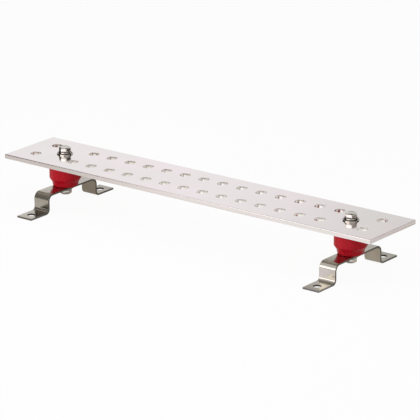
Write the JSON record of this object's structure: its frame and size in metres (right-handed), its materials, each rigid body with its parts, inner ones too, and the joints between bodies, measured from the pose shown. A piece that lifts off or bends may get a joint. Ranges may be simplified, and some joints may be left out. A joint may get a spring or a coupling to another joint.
{
  "type": "earth terminal bar",
  "caption": "Flat plated copper bar with two rows of lug holes, clamped on two red insulators above hat-shaped strap brackets.",
  "frame": {"origin": "on the mounting surface, under the middle of the bar", "axes": "+X along the bar, +Y across it along the brackets, +Z away from the mounting surface"},
  "size_m": [0.6096, 0.1744, 0.0812],
  "materials": {
    "tinned_copper": "polished",
    "strap_steel": "satin",
    "insulator_red": "gloss",
    "insert_brass": "machined",
    "washer_steel": "stamped",
    "spring_steel": "zinc plated",
    "screw_steel": "forged and rolled"
  },
  "bodies": {
    "root": {"terminal_bar": "tinned_copper", "left_bracket": "strap_steel", "left_insulator": "insulator_red", "left_top_insert": "insert_brass", "left_bottom_insert": "insert_brass", "left_top_flat_washer": "washer_steel", "left_top_lock_washer": "spring_steel", "left_top_screw": "screw_steel", "left_bottom_flat_washer": "washer_steel", "left_bottom_lock_washer": "spring_steel", "left_bottom_screw": "screw_steel", "right_bracket": "strap_steel", "right_insulator": "insulator_red", "right_top_insert": "insert_brass", "right_bottom_insert": "insert_brass", "right_top_flat_washer": "washer_steel", "right_top_lock_washer": "spring_steel", "right_top_screw": "screw_steel", "right_bottom_flat_washer": "washer_steel", "right_bottom_lock_washer": "spring_steel", "right_bottom_screw": "screw_steel"}
  },
  "joints": []
}
